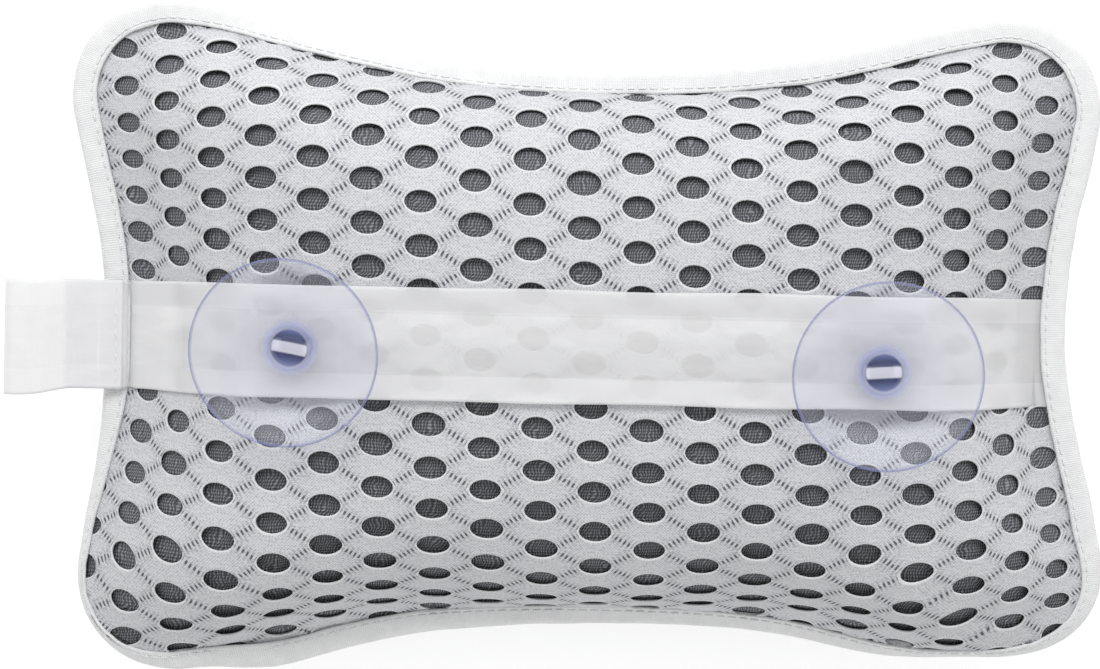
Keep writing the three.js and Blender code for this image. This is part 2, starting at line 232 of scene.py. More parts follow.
def between(grid, i, j, ease=lambda share: share):
    i0, j0 = np.minimum(i.astype(int), grid.shape[0] - 2), np.minimum(j.astype(int), grid.shape[1] - 2)
    f, g = ease(i - i0), ease(j - j0)
    low = grid[i0, j0] * (1 - f) + grid[i0 + 1, j0] * f
    high = grid[i0, j0 + 1] * (1 - f) + grid[i0 + 1, j0 + 1] * f
    return low * (1 - g) + high * g


def sample(grid, x, y):
    i = np.clip((x - fieldX[0]) / fieldStep, 0, len(fieldX) - 1.001)
    j = np.clip((y - fieldY[0]) / fieldStep, 0, len(fieldY) - 1.001)
    return between(grid, i, j)


def onCloth(field, u, v, rounds=40):
    x, y = np.clip(u, -140, 140), np.clip(v, -92, 92)
    for _ in range(rounds):
        rate = sample(field["along"], x + 0.5, y) - sample(field["along"], x - 0.5, y)
        x = x + np.clip((u - sample(field["along"], x, y)) / np.maximum(rate, 1), -3, 3)
        rate = sample(field["across"], x, y + 0.5) - sample(field["across"], x, y - 0.5)
        y = y + np.clip((v - sample(field["across"], x, y)) / np.maximum(rate, 1), -3, 3)
    return x, y


# Where the stuffing bulges over the binding, less of the tape's width shows from above: (share of the walk, mm)
tuck = {
    "tapeWidth": 7, "foldRadius": 2.45, "smoothing": 9, "bulge": (0.55, 1, 1, 1.03), "overlap": 0.8,
    "showing": ((0, 7), (0.2, 6.8), (0.25, 6.3), (0.29, 5.8), (0.315, 4.9), (0.335, 4.6), (0.355, 5.6), (0.375, 6.8),
                (0.515, 7), (0.535, 4.6), (0.555, 2.8), (0.58, 2.3), (0.6, 2.7), (0.615, 4.5), (0.635, 6.2),
                (0.655, 6.8), (0.7, 6.3), (0.75, 5.2), (0.8, 4.6), (0.83, 4.2), (0.85, 3.2), (0.865, 1.9),
                (0.88, 2.2), (0.895, 3.6), (0.91, 5), (0.935, 6.6), (1, 7)),
}


def tapeShowing(walk):
    return alongWalk(walk, tuck["showing"], tuck["smoothing"])


def tuckAngle(showing):
    radius, flat = tuck["foldRadius"], tuck["tapeWidth"] - tuck["foldRadius"]
    return np.arccos(np.clip((showing - radius) / math.hypot(flat, radius), -1, 1)) - math.atan2(radius, flat)


def bulged(x, y):
    walk, share = walkAt(x, y), rimShare(x, y)
    hidden = tuck["tapeWidth"] - tapeShowing(walk)
    amount = plateau(tuck["bulge"], share)
    return pushedOut(x, y, walk, amount * (hidden + tuck["overlap"]) * smoothStep(0, 1, hidden))


def onBody(field, x, y, lift, side):
    z = sample(field["z"], x, y)
    slopeX, slopeY = sample(field["slopeX"], x, y), sample(field["slopeY"], x, y)
    steep = np.sqrt(1 + slopeX ** 2 + slopeY ** 2)
    if side > 0:
        x, y = bulged(x, y)
    layX, layY = lie(x - lift * side * slopeX / steep, y - lift * side * slopeY / steep)
    return np.stack([layX, layY, z + lift * side / steep], -1)


# Mesh helpers
def pieceFrom(name, bm, *materials):
    mesh = bpy.data.meshes.new(name)
    bm.to_mesh(mesh)
    bm.free()
    mesh.shade_smooth()
    piece = bpy.data.objects.new(name, mesh)
    scene.collection.objects.link(piece)
    for material in materials:
        mesh.materials.append(material)
    return piece


def shapeGrid(bm, made, place, uvLayer):
    start = np.array([vert.co for vert in made]) + 0.5
    points, cloth = place(start[:, 0], start[:, 1])
    where = {}
    for vert, point, uv in zip(made, points * mm, cloth):
        vert.co = point
        where[vert] = uv
    for face in bm.faces:
        for loop in face.loops:
            loop[uvLayer].uv = where[loop.vert]


def gridSheet(columns, rows, place, joinWithin=0.0):
    bm = bmesh.new()
    uvLayer = bm.loops.layers.uv.new("cloth")
    made = bmesh.ops.create_grid(bm, x_segments=columns, y_segments=rows, size=0.5)["verts"]
    shapeGrid(bm, made, place, uvLayer)
    if joinWithin:
        bmesh.ops.remove_doubles(bm, verts=bm.verts, dist=joinWithin * mm)
        bmesh.ops.recalc_face_normals(bm, faces=bm.faces)
    return bm


def turnTowards(bm, direction):
    bmesh.ops.recalc_face_normals(bm, faces=bm.faces)
    bm.normal_update()
    if sum(face.normal.dot(direction) * face.calc_area() for face in bm.faces) < 0:
        bmesh.ops.reverse_faces(bm, faces=bm.faces)


def addThickness(piece, thickness, offset):
    modifier = piece.modifiers.new("thickness", "SOLIDIFY")
    modifier.thickness = thickness * mm
    modifier.offset = offset


def addSubdivision(piece):
    modifier = piece.modifiers.new("smooth", "SUBSURF")
    modifier.levels = modifier.render_levels = 1


def applied(piece):
    view = piece.evaluated_get(bpy.context.evaluated_depsgraph_get())
    mesh = bpy.data.meshes.new_from_object(view)
    piece.modifiers.clear()
    piece.data = mesh
    return mesh


# Moves with its body in place of the CAD node
def standsFor(piece, cadNode, body="pillow"):
    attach(piece, body)
    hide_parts(cadNode)


def ripple(x, y, size, seed):
    return np.array([noise.noise(Vector((px / size, py / size, seed))) for px, py in zip(x, y)])


# Node helpers
def freshMaterial(name):
    material = bpy.data.materials.new(name)
    material.use_nodes = True
    material.node_tree.nodes.clear()
    return material, material.node_tree


def join(value, socket):
    if isinstance(value, bpy.types.NodeSocket):
        socket.id_data.links.new(value, socket)
    elif value is not None:
        socket.default_value = value


def node(tree, kind, *values, out=0, **settings):
    made = tree.nodes.new(kind)
    for key, value in settings.items():
        setattr(made, key, value)
    for socket, value in zip(made.inputs, values):
        join(value, socket)
    return made.outputs[out]


def calc(operation, *values):
    tree = next(value for value in values if isinstance(value, bpy.types.NodeSocket)).id_data
    return node(tree, "ShaderNodeMath", *values, operation=operation)


def scaled(value, by, plus):
    return calc("MULTIPLY_ADD", value, by, plus)


def product(*values):
    result = values[0]
    for value in values[1:]:
        result = calc("MULTIPLY", result, value)
    return result


def distance(x, y):
    return calc("SQRT", calc("ADD", product(x, x), product(y, y)))


def fade(value, *ends):
    return node(value.id_data, "ShaderNodeMapRange", value, *ends, interpolation_type="SMOOTHSTEP")


def wave(value, pitch):
    return calc("SINE", product(value, 2 * math.pi / pitch))


def speckle(place, scale, detail=2.0):
    return node(place.id_data, "ShaderNodeTexNoise", place, None, scale, detail)


def mixColour(factor, first, second):
    made = factor.id_data.nodes.new("ShaderNodeMix")
    made.data_type = "RGBA"
    join(factor, made.inputs[0])
    for socket, value in ((made.inputs[6], first), (made.inputs[7], second)):
        join((*value, 1) if isinstance(value, tuple) else value, socket)
    return made.outputs[2]


def clothAxes(tree):
    uv = node(tree, "ShaderNodeUVMap", uv_map="cloth")
    split = tree.nodes.new("ShaderNodeSeparateXYZ")
    tree.links.new(uv, split.inputs[0])
    return uv, split.outputs[0], split.outputs[1]


def surface(tree, height=None, depth=0.2, strength=0.7, **sockets):
    shader = tree.nodes.new("ShaderNodeBsdfPrincipled")
    for key, value in sockets.items():
        name = {"colour": "Base Color", "sheen": "Sheen Weight", "gloss": "Specular IOR Level"}.get(key, key.title())
        join((*value, 1) if isinstance(value, tuple) else value, shader.inputs[name])
    if height:
        relief = tree.nodes.new("ShaderNodeBump")
        relief.inputs["Strength"].default_value = strength
        relief.inputs["Distance"].default_value = depth * mm
        tree.links.new(height, relief.inputs["Height"])
        tree.links.new(relief.outputs[0], shader.inputs["Normal"])
    return shader.outputs[0]


def finishWith(material, shader):
    tree = material.node_tree
    tree.links.new(shader, tree.nodes.new("ShaderNodeOutputMaterial").inputs[0])
    return material


print("shapes and helpers ready")

# Stuffed body: the grey inner side of the air mesh, round the fibre filling
stuffing = {
    "seamDepth": 1.1, "seamInset": 4.6, "body": (120, 40, 2.3), "form": (96, 32, 0.5),  # around, rings, mm deep
    "voxel": 5, "pressure": 4, "frames": 20, "cap": 3, "fill": 0.85, "swellEnds": (0.84, 0.95),
    # where the swelling cover is held, from loosely to fast: share of the way to the seam, then mm
    "heldAtSeam": (0.86, 0.95), "heldAtCups": (24, 14), "heldByFloor": (6, 2.5),
    "heldByStrap": (19, 13), "strapHold": 0.75,
    "ground": (0.11, 0.113, 0.125), "rib": (0.36, 0.365, 0.39), "ribPitch": 0.088,  # pitch in cm of cloth
}
seamTable = reachTable(stuffing["seamInset"])


def formPlace(back, front, depth):
    def place(aroundShare, ringShare):
        x, y = np.cos(aroundShare * 2 * math.pi), np.sin(aroundShare * 2 * math.pi)
        far = np.sin(ringShare * math.pi) * reachOf(x, y, seamTable)
        x, y = x * far, y * far
        lift = -depth + (depth - stuffing["seamDepth"]) * smoothStep(0.6, 0.98, rimShare(x, y))
        upper, lower = onBody(back, x, y, lift, 1), onBody(front, x, y, lift, -1)
        side = np.sign(np.round(0.5 - ringShare, 4))[:, None]
        points = (upper + lower) / 2 + side * (upper - lower) / 2
        cloth = np.stack([sample(back["along"], x, y), sample(back["across"], x, y)], -1) / 10
        return points, cloth
    return place


def stuffedForm(name, back, front, columns, rows, depth):
    return pieceFrom(name, gridSheet(columns, rows, formPlace(back, front, depth), 0.05))


def heldWeights(points):
    x, y = unlie(points[:, 0], points[:, 1])
    weights = smoothStep(*stuffing["heldAtSeam"], rimShare(x, y))
    for place in cupPlaces.values():
        weights = np.maximum(weights, smoothStep(*stuffing["heldAtCups"], np.hypot(*(points[:, :2] - place).T)))
    byStrap = stuffing["strapHold"] * smoothStep(*stuffing["heldByStrap"], np.abs(points[:, 1]))
    byStrap = byStrap * (points[:, 2] > pillow["seamLevel"])
    return np.maximum.reduce([weights, byStrap, smoothStep(*stuffing["heldByFloor"], points[:, 2])])


coarseStep = 5
coarseX, coarseY = np.meshgrid(np.arange(-150, 151, coarseStep), np.arange(-100, 101, coarseStep), indexing="ij")


def levelsOf(mesh, points, fromAbove):
    tree = BVHTree.FromPolygons([Vector(p) for p in points], [list(p.vertices) for p in mesh.polygons])
    start, way = (0.2, -1) if fromAbove else (-0.1, 1)
    levels = np.full(coarseX.shape, np.nan)
    for index in np.ndindex(coarseX.shape):
        x, y = lie(coarseX[index], coarseY[index])
        hit = tree.ray_cast(Vector((x * mm, y * mm, start)), Vector((0, 0, way)))[0]
        if hit:
            levels[index] = hit.z / mm
    return levels


# Blows the form up as cloth under pressure, held at the seam, the cups, the strap and the resting face
def stuffedSwell(back, front):
    form = stuffedForm("stuffing_form", back, front, *stuffing["form"])
    even = form.modifiers.new("even", "REMESH")
    even.mode = "VOXEL"
    even.voxel_size = stuffing["voxel"] * mm
    mesh = applied(form)
    rest = np.array([vert.co for vert in mesh.vertices])
    held = form.vertex_groups.new(name="held")
    for index, weight in enumerate(heldWeights(rest / mm)):
        held.add([index], float(weight), "REPLACE")
    cloth = form.modifiers.new("stuffing", "CLOTH")
    cloth.settings.use_pressure = True
    cloth.settings.uniform_pressure_force = stuffing["pressure"]
    cloth.settings.effector_weights.gravity = 0
    cloth.settings.vertex_group_mass = "held"
    cloth.point_cache.frame_end = stuffing["frames"]
    for step in range(1, stuffing["frames"] + 1):
        scene.frame_set(step)
    full = np.array([vert.co for vert in applied(form).vertices])
    scene.frame_set(1)
    moved = full - rest
    far = np.linalg.norm(moved, axis=1, keepdims=True)
    cap = stuffing["cap"] * mm
    full = rest + moved * cap * np.tanh(far / cap) / np.maximum(far, 1e-9)
    swells = []
    for fromAbove in (True, False):
        swell = levelsOf(mesh, full, fromAbove) - levelsOf(mesh, rest, fromAbove)
        swell = np.nan_to_num(swell) * (1 - smoothStep(*stuffing["swellEnds"], rimShare(coarseX, coarseY)))
        for _ in range(2):
            padded = np.pad(swell, 1)
            swell = sum(padded[i:i + swell.shape[0], j:j + swell.shape[1]] for i in range(3) for j in range(3)) / 9
        i, j = (gridX - coarseX[0, 0]) / coarseStep, (gridY - coarseY[0, 0]) / coarseStep
        swells.append(between(swell, i, j, lambda share: smoothStep(0, 1, share)))
        print("swell of the", "back" if fromAbove else "front", np.round([swell.min(), swell.max()], 2), "mm")
    bpy.data.objects.remove(form)
    return swells


flatBack = plainBack(gridX, gridY)
flatFront = plainFront(gridX, gridY)
plainField = makeField(flatBack)
backField = makeField(dimpled(gridX, gridY, flatBack))
frontField = makeField(flatFront)
backSwell, frontSwell = stuffedSwell(backField, frontField)
flatBack = flatBack + backSwell
backField = makeField(dimpled(gridX, gridY, flatBack))
frontField = makeField(np.maximum(0, flatFront + frontSwell))
topField = makeField(flatBack)


def greyGround():
    material, tree = freshMaterial("grey_knit_ground")
    uv, along, across = clothAxes(tree)
    drift = speckle(uv, 1.7)
    drift.node.noise_dimensions = "2D"
    bend = scaled(drift, 0.45, along)
    lean = scaled(across, -0.3, bend)
    ribs = wave(lean, stuffing["ribPitch"])
    loops = wave(across, 0.09)
    height = scaled(loops, 0.6, ribs)
    colour = mixColour(fade(height, -0.6, 1.5), stuffing["ground"], stuffing["rib"])
    return finishWith(material, surface(tree, height, 0.3, 0.6, colour=colour, roughness=0.95, gloss=0.15))


stuffedBody = stuffedForm("stuffed_body", backField, frontField, *stuffing["body"])
stuffedBody.data.materials.append(greyGround())
addSubdivision(stuffedBody)
standsFor(stuffedBody, "fibre_fill")
print("stuffed body done")

# White outer side of the air mesh: one knitted cell round each oval hole, in staggered columns
knit = {
    "pitch": (14.37, 11.532), "start": (0.428, -2.809), "tilt": -1.566, "lean": -1.443,
    # the knit is drawn a little out of line as it is sewn: (power along, power across, mm along, mm across)
    "drift": ((0, 0, -0.34, -0.31), (0, 1, -1.28, 2.06), (0, 2, 0.47, 1.07), (0, 3, 1.21, -1.6),
              (0, 4, 0.11, 1.71), (1, 0, 0.45, 0.08), (1, 1, -0.19, 0.62), (1, 2, 0.78, 0.81),
              (1, 3, 0.12, -0.39), (2, 0, 0.23, -3.25), (2, 1, -0.12, -1.93), (2, 2, -0.51, -2.76),
              (3, 0, -1.21, -0.14), (3, 1, 0.31, 0.42), (4, 0, 0.46, 2.56)),
    "columns": 12, "rows": 11,  # on each side of the middle
    "hole": (4.38, 3.02), "unevenness": 0.09, "rims": (1.28, 1.08, 1.0), "lifts": (0.0, 0.03, 0.14, -0.2),
    "thickness": 0.65, "hiddenInset": 6.0, "frontSink": 0.35, "flat": (0.318, 0.222), "area": 0.046,
    "ladderTurn": 11, "rungPitch": 1.3, "ladderReach": (3.4, 2.9), "rungReach": (0.85, 0.4), "yarnReach": (2.8, 1.0),
    "yarn": (0.663, 0.668, 0.688), "rimYarn": (0.74, 0.745, 0.76), "groove": (0.41, 0.415, 0.44),
    "gap": (0.12, 0.12, 0.14),
}
aroundHole = 20


def cellEdge():
    side = [(0.5, 0), (0.5, 0.25)]
    top = [(0.5 - step / 6, 0.5) for step in range(6)]
    left = [(-0.5, 0.5 - step / 4) for step in range(4)]
    bottom = [(step / 6 - 0.5, -0.5) for step in range(6)]
    return np.array([*side, *top, *left, *bottom, (0.5, -0.5), (0.5, -0.25)])


def latticeToCloth(column, row):
    tilt, lean = math.radians(knit["tilt"]), math.radians(knit["lean"])
    alongPitch, acrossPitch = knit["pitch"]
    u = knit["start"][0] + alongPitch * column * math.cos(tilt) + acrossPitch * row * math.sin(lean)
    v = knit["start"][1] + alongPitch * column * math.sin(tilt) + acrossPitch * row * math.cos(lean)
    reachU, reachV = np.clip(u / 100, -1.35, 1.35), np.clip(v / 60, -1.45, 1.45)
    driftU, driftV = (sum(term[k] * reachU ** term[0] * reachV ** term[1] for term in knit["drift"]) for k in (2, 3))
    return u + driftU, v + driftV


def knittedFace(name, field, side, sink):
    columns, rows = (range(-knit[key], knit[key] + 1) for key in ("columns", "rows"))
    cells = np.array([(column, row + 0.5 * (column % 2)) for column in columns for row in rows])
    middleX, middleY = onCloth(plainField, *latticeToCloth(*cells.T))
    cells = cells[rimShare(middleX, middleY) < 1.2]
    bm = bmesh.new()
    uvLayer = bm.loops.layers.uv.new("cloth")
    for _ in cells:
        bmesh.ops.create_grid(bm, x_segments=aroundHole, y_segments=3, size=0.5)
    perCell = (aroundHole + 1) * 4
    owner = np.repeat(np.arange(len(cells)), perCell)
    uneven = 1 + knit["unevenness"] * ripple(cells[:, 0] * 7.3, cells[:, 1] * 9.1, 5.0, 3.7 + side)
    inner, sewnEnd = np.zeros(len(owner), bool), np.zeros(len(owner), bool)
    hiddenTable = reachTable(knit["hiddenInset"])

    def place(aroundShare, ringShare):
        turn = np.round(aroundShare * aroundHole).astype(int) % aroundHole
        ring = np.round(ringShare * 3).astype(int)
        angle = turn * 2 * math.pi / aroundHole
        oval = np.stack([np.cos(angle), np.sin(angle)], -1) * np.array(knit["hole"]) / np.array(knit["pitch"])
        oval = oval * np.array([0, *knit["rims"]])[ring][:, None] * uneven[owner][:, None]
        spot = cells[owner] + np.where(ring[:, None] == 0, cellEdge()[turn], oval)
        x, y = onCloth(plainField, *latticeToCloth(*spot.T))
        past = np.hypot(x, y) / reachOf(x, y, hiddenTable)  # cells across the tape's edge end under it
        inner[:] = past < 1
        x, y = x / np.maximum(past, 1), y / np.maximum(past, 1)
        lift = np.array(knit["lifts"])[ring] * (1 - smoothStep(0.95, 1.0, rimShare(x, y))) - sink
        points = onBody(field, x, y, lift, side)
        if side > 0:
            sewnEnd[:] = (points[:, 0] > strap["intoSeam"][0]) & (np.abs(points[:, 1]) < strap["width"] / 2 - 1)
        return points, spot

    verts = list(bm.verts)
    shapeGrid(bm, verts, place, uvLayer)
    kept = {vert for vert, isInner in zip(verts, inner) if isInner}
    bmesh.ops.delete(bm, geom=[face for face in bm.faces if not kept & set(face.verts)], context="FACES")
    underStrapEnd = [vert for vert, isSewn in zip(verts, sewnEnd) if isSewn and vert.is_valid]
    bmesh.ops.delete(bm, geom=underStrapEnd, context="VERTS")
    bmesh.ops.remove_doubles(bm, verts=bm.verts, dist=0.02 * mm)
    turnTowards(bm, Vector((0, 0, side)))
    return pieceFrom(name, bm)


def whiteKnit():
    material, tree = freshMaterial("white_knit_face")
    uv, column, row = clothAxes(tree)
    alongPitch, acrossPitch = knit["pitch"]
    linkLength = math.hypot(alongPitch, acrossPitch / 2)
    linkGap = alongPitch * acrossPitch / linkLength
    linkSkew = (alongPitch ** 2 - acrossPitch ** 2 / 4) / linkLength
    grain = speckle(uv, 17.0, 4.0)
    ragged = scaled(grain, 1.6, -0.8)
    half = calc("MULTIPLY", column, 0.5)
    rising, falling = calc("SUBTRACT", row, half), calc("ADD", row, half)
    offRising = calc("SUBTRACT", rising, calc("ROUND", rising))
    offFalling = calc("SUBTRACT", falling, calc("ROUND", falling))

    turn = math.radians(knit["ladderTurn"])
    c, s = math.cos(turn), math.sin(turn)

    # rungs of the ladder between two holes, on a line a little steeper than the link, and the yarns that fan out
    def rungs(offLine, runner):
        middle = calc("SUBTRACT", calc("FRACT", runner), 0.5)
        run = scaled(middle, linkLength * c, product(offLine, linkGap * s - linkSkew * c))
        aside = product(offLine, linkGap * c + linkSkew * s)
        aside = scaled(middle, -linkLength * s, aside)
        spread = calc("ADD", calc("ABSOLUTE", aside), ragged)
        beat = calc("COSINE", product(run, 2 * math.pi / knit["rungPitch"]))
        window = fade(calc("ABSOLUTE", run), *knit["ladderReach"])
        rung = product(fade(beat, 0.1, -0.6), fade(spread, *knit["rungReach"]), window)
        return rung, product(fade(beat, 0.6, -0.6), fade(spread, *knit["yarnReach"]))

    (rungUp, yarnUp), (rungDown, yarnDown) = rungs(offRising, falling), rungs(offFalling, rising)
    ladder, yarns = calc("MAXIMUM", rungUp, rungDown), calc("MAXIMUM", yarnUp, yarnDown)
    fromHoleColumn = calc("SUBTRACT", offFalling, offRising)
    fromHoleRow = product(calc("ADD", offFalling, offRising), 0.5)
    ovalX = product(fromHoleColumn, alongPitch / knit["hole"][0])
    ovalY = product(fromHoleRow, acrossPitch / knit["hole"][1])
    fromHole = distance(ovalX, ovalY)
    fan = calc("SINE", product(calc("ARCTAN2", ovalY, ovalX), 46))
    fan = product(fan, fade(fromHole, 1.9, 1.2), 0.3)
    looseRow, looseColumn = (scaled(ragged, 0.03, axis) for axis in (row, column))
    loops = product(wave(looseRow, 0.075), wave(looseColumn, 0.062), fade(fromHole, 1.1, 1.6))
    stitches = scaled(grain, 2.2, scaled(loops, 0.5, fan))
    rowwise = node(tree, "ShaderNodeVectorMath", uv, (1.0, 6.5, 1.0), operation="MULTIPLY")
    streaks = calc("SUBTRACT", speckle(rowwise, 4.4), 0.5)
    stitches = scaled(streaks, 1.4, stitches)
    stitches = scaled(yarns, -0.7, stitches)
    lines = fade(stitches, 1.5, 0.1)
    colour = mixColour(lines, knit["yarn"], knit["groove"])
    colour = mixColour(fade(fromHole, 1.2, 1.06), colour, knit["rimYarn"])
    colour = mixColour(ladder, colour, knit["gap"])
    height = calc("SUBTRACT", product(stitches, 0.35), ladder)
    return finishWith(material, surface(tree, height, 0.25, 0.7, colour=colour, roughness=0.9, gloss=0.2))


# Strap sizes are needed by the mesh under it
strap = {
    "width": 30, "start": -135.1, "end": 131.5, "thickness": 0.5, "lift": 0.72, "levelAtCups": 65.39,
    "overTape": 34.35, "inSeam": 31.45, "intoSeam": (121, 127), "crease": -127.3, "creaseDepth": 1.5,
    "hem": 6.7, "hemRise": 0.9, "puff": 1.3, "slot": (11, 7.2), "flat": (0.030, 0.296),
    "levelReach": (21, 8), "flatReach": (22, 10), "lean": {"left": 9, "right": 6},  # at the cups
    "free": (-126.3, -111.3, 104, 122), "gathers": (117, 121, 125.5, 127), "gatherRise": 0.3, "gatherPitch": 2.1,
    # the hems' colour is a darker copy of the cloth: painted shade on the hems
    "cloth": (0.98, 0.98, 0.985), "shade": (0.94, 0.94, 0.95), "shadedHemCloth": (0.92, 0.92, 0.93),
    "veil": 0.72, "hemVeil": 0.81, "endVeil": 0.9, "creaseAt": (-12.73, 0.03, 0.09), "creaseShade": (0.6, 0.6, 0.63),
    "endStitches": 9, "endPitch": 3.15, "endRow": -130.5, "endLift": 0.86, "endStitch": (2.4, 0.6, 0.45),
}
faceFinish = whiteKnit()
for end, field, side, sink in (("back", backField, 1, 0), ("front", frontField, -1, knit["frontSink"])):
    face = knittedFace(end + "_mesh_face", field, side, sink)
    face.data.materials.append(faceFinish)
    addThickness(face, knit["thickness"], -1)
    standsFor(face, end + "_mesh_panel")
    print(end, "mesh face:", len(face.data.polygons), "faces")

# Binding: a soft tape folded round the seam, sewn through, with its ends lapped at one place
binding = {
    "width": 7, "halfHeight": 2.45, "thickness": 0.8, "steps": 980, "rows": 22,
    "pucker": 0.2, "edgeWander": 0.25, "groove": 0.15, "rowInset": 5.6,
    "lapAt": 0.645, "lapLength": 16, "lapRise": 0.5,
    "tape": (0.84, 0.842, 0.845), "shade": (0.78, 0.782, 0.79),
    "thread": (0.88, 0.885, 0.895), "threadShade": (0.68, 0.685, 0.7),
    "stitch": (2.5, 0.6, 0.45), "stitchPitch": 3.2, "flat": (0.0195, 0.86),
}


def tucked(walk, inset, level):
    showing = tapeShowing(walk)
    angle = tuckAngle(showing)
    out, up = binding["width"] - inset, level - binding["halfHeight"]
    inset = showing - out * np.cos(angle) - up * np.sin(angle)
    return inset, binding["halfHeight"] - out * np.sin(angle) + up * np.cos(angle)


def loopedRipple(walk, across, size, seed):
    turn = walk / edgeLength * 2 * math.pi
    wheel = edgeLength / (2 * math.pi) / size
    return np.array([noise.noise(Vector((wheel * math.cos(t), wheel * math.sin(t), seed + a)))
                     for t, a in zip(turn, across)])


def tapePlace(walkShare, foldShare):
    walk = walkShare * edgeLength
    middle, inward = edgeAt(walk)[::2]
    half, width = binding["halfHeight"], binding["width"]
    flat = width - half
    whole = 2 * flat + math.pi * half
    along = foldShare * whole
    angle = np.clip((along - flat) / half, 0, math.pi)
    inset = np.where(along > whole - flat, width - (whole - along), half * (1 - np.sin(angle)))
    inset = np.where(along < flat, width - along, inset)
    level = half * np.cos(angle)
    side = np.where(foldShare < 0.5, 1, -1)
    loose = smoothStep(0.5, width, inset)  # from the fold, which is drawn tight, to the free edge
    pucker = loopedRipple(walk, side * 3, 5.5, 1.3) + 0.6 * loopedRipple(walk, side * 5, 2.2, 4.1)
    beat = 0.5 - 0.5 * np.cos(2 * math.pi * walk / (edgeLength / round(edgeLength / binding["stitchPitch"])))
    groove = np.exp(-((inset - binding["rowInset"]) / 0.55) ** 2) * binding["groove"] * (0.55 + 0.45 * beat)
    fromLap = (walkShare - binding["lapAt"]) * edgeLength / binding["lapLength"] * 2
    lap = np.exp(-np.abs(fromLap) ** 6) * binding["lapRise"]
    level = level + side * (binding["pucker"] * pucker * loose - groove + lap * smoothStep(0, 2, inset))
    inset = inset + binding["edgeWander"] * loopedRipple(walk, side * 2, 8, 7.7) * loose
    inset = inset - 0.5 * lap * (1 - loose) + 0.25 * loopedRipple(walk, 0 * side, 11, 9.9) * (1 - loose)
    inset, level = tucked(walk, inset, level)
    spot = middle + inward * inset[:, None]
    x, y = lie(spot[:, 0], spot[:, 1])
    cloth = np.stack([along, walk], -1) / 10
    return np.stack([x, y, pillow["seamLevel"] + level], -1), cloth


def tapeCloth():
    material, tree = freshMaterial("binding_tape_cloth")
    uv, across, along = clothAxes(tree)
    ribs = wave(along, 0.062)
    warp = wave(across, 0.045)
    patchy = speckle(uv, 2.6, 3.0)
    weave = scaled(warp, 0.6, ribs)
    worn = scaled(weave, 0.12, patchy)
    colour = mixColour(fade(worn, 0.62, 0.3), binding["tape"], binding["shade"])
    cloth = surface(tree, weave, 0.08, 0.5, colour=colour, roughness=0.85, gloss=0.25, sheen=0.15)
    return finishWith(material, cloth)


def threadFinish():
    material, tree = freshMaterial("white_sewing_thread")
    place = node(tree, "ShaderNodeTexCoord", out=3)
    twist = tree.nodes.new("ShaderNodeTexWave")
    twist.bands_direction = "DIAGONAL"
    twist.inputs["Scale"].default_value = 900
    twist.inputs["Distortion"].default_value = 2
    tree.links.new(place, twist.inputs["Vector"])
    colour = mixColour(fade(twist.outputs[1], 0.0, 0.9), binding["threadShade"], binding["thread"])
    return finishWith(material, surface(tree, twist.outputs[1], 0.08, 0.6, colour=colour, roughness=0.7, gloss=0.3))


bindingTape = pieceFrom("binding_tape", gridSheet(binding["steps"], binding["rows"], tapePlace, 0.02), tapeCloth())
addThickness(bindingTape, binding["thickness"], 0)
standsFor(bindingTape, "edge_binding")
stitchFinish = threadFinish()


# Made once and copied, which is quicker than a new ball for each stitch
def oneStitch():
    bm = bmesh.new()
    bmesh.ops.create_uvsphere(bm, u_segments=8, v_segments=5, radius=0.5)
    mesh = bpy.data.meshes.new("stitch")
    bm.to_mesh(mesh)
    bm.free()
    return mesh


stitchMesh = oneStitch()


def addStitch(bm, at, way, size):
    turn = Matrix.Rotation(math.atan2(way[1], way[0]), 4, "Z")
    mesh = stitchMesh.copy()
    mesh.transform(Matrix.Translation(Vector(at) * mm) @ turn @ Matrix.Diagonal((*(s * mm for s in size), 1)))
    bm.from_mesh(mesh)
    bpy.data.meshes.remove(mesh)


def stitchRow(end, side):
    bm = bmesh.new()
    count = round(edgeLength / binding["stitchPitch"])
    walk = np.arange(count) * edgeLength / count
    middle, way, inward = edgeAt(walk)
    height = side * (binding["halfHeight"] + binding["thickness"] / 2 + 0.05)
    inset, level = tucked(walk, binding["rowInset"], height)
    spot = middle + inward * inset[:, None]
    for (px, py), (wx, wy), pz in zip(spot, way, level):
        x, y = lie(px, py)
        x1, y1 = lie(px + wx, py + wy)
        addStitch(bm, (x, y, pillow["seamLevel"] + pz), (x1 - x, y1 - y), binding["stitch"])
    standsFor(pieceFrom("binding_stitches_" + end, bm, stitchFinish), "binding_thread_" + end)


stitchRow("back", 1)
stitchRow("front", -1)
print("binding and its stitches done")


# Strap: thin see-through cloth with turned hems, laid along the crown and buttoned over the cups' heads
def strapLevel(x, y):
    bodyX, bodyY = unlie(x, y)
    level = sample(topField["z"], bodyX, bodyY) + strap["lift"]
    for cupX, _ in cupPlaces.values():
        level = level + (strap["levelAtCups"] - level) * smoothStep(*strap["levelReach"], np.abs(x - cupX))
    overTape = 1 - smoothStep(strap["crease"] - 1.6, strap["crease"] + 1.2, x)
    level = level + (strap["overTape"] - level) * overTape
    level = level - strap["creaseDepth"] * np.exp(-((x - strap["crease"] - 0.4) / 0.8) ** 2)
    return level + (strap["inSeam"] - level) * smoothStep(*strap["intoSeam"], x)


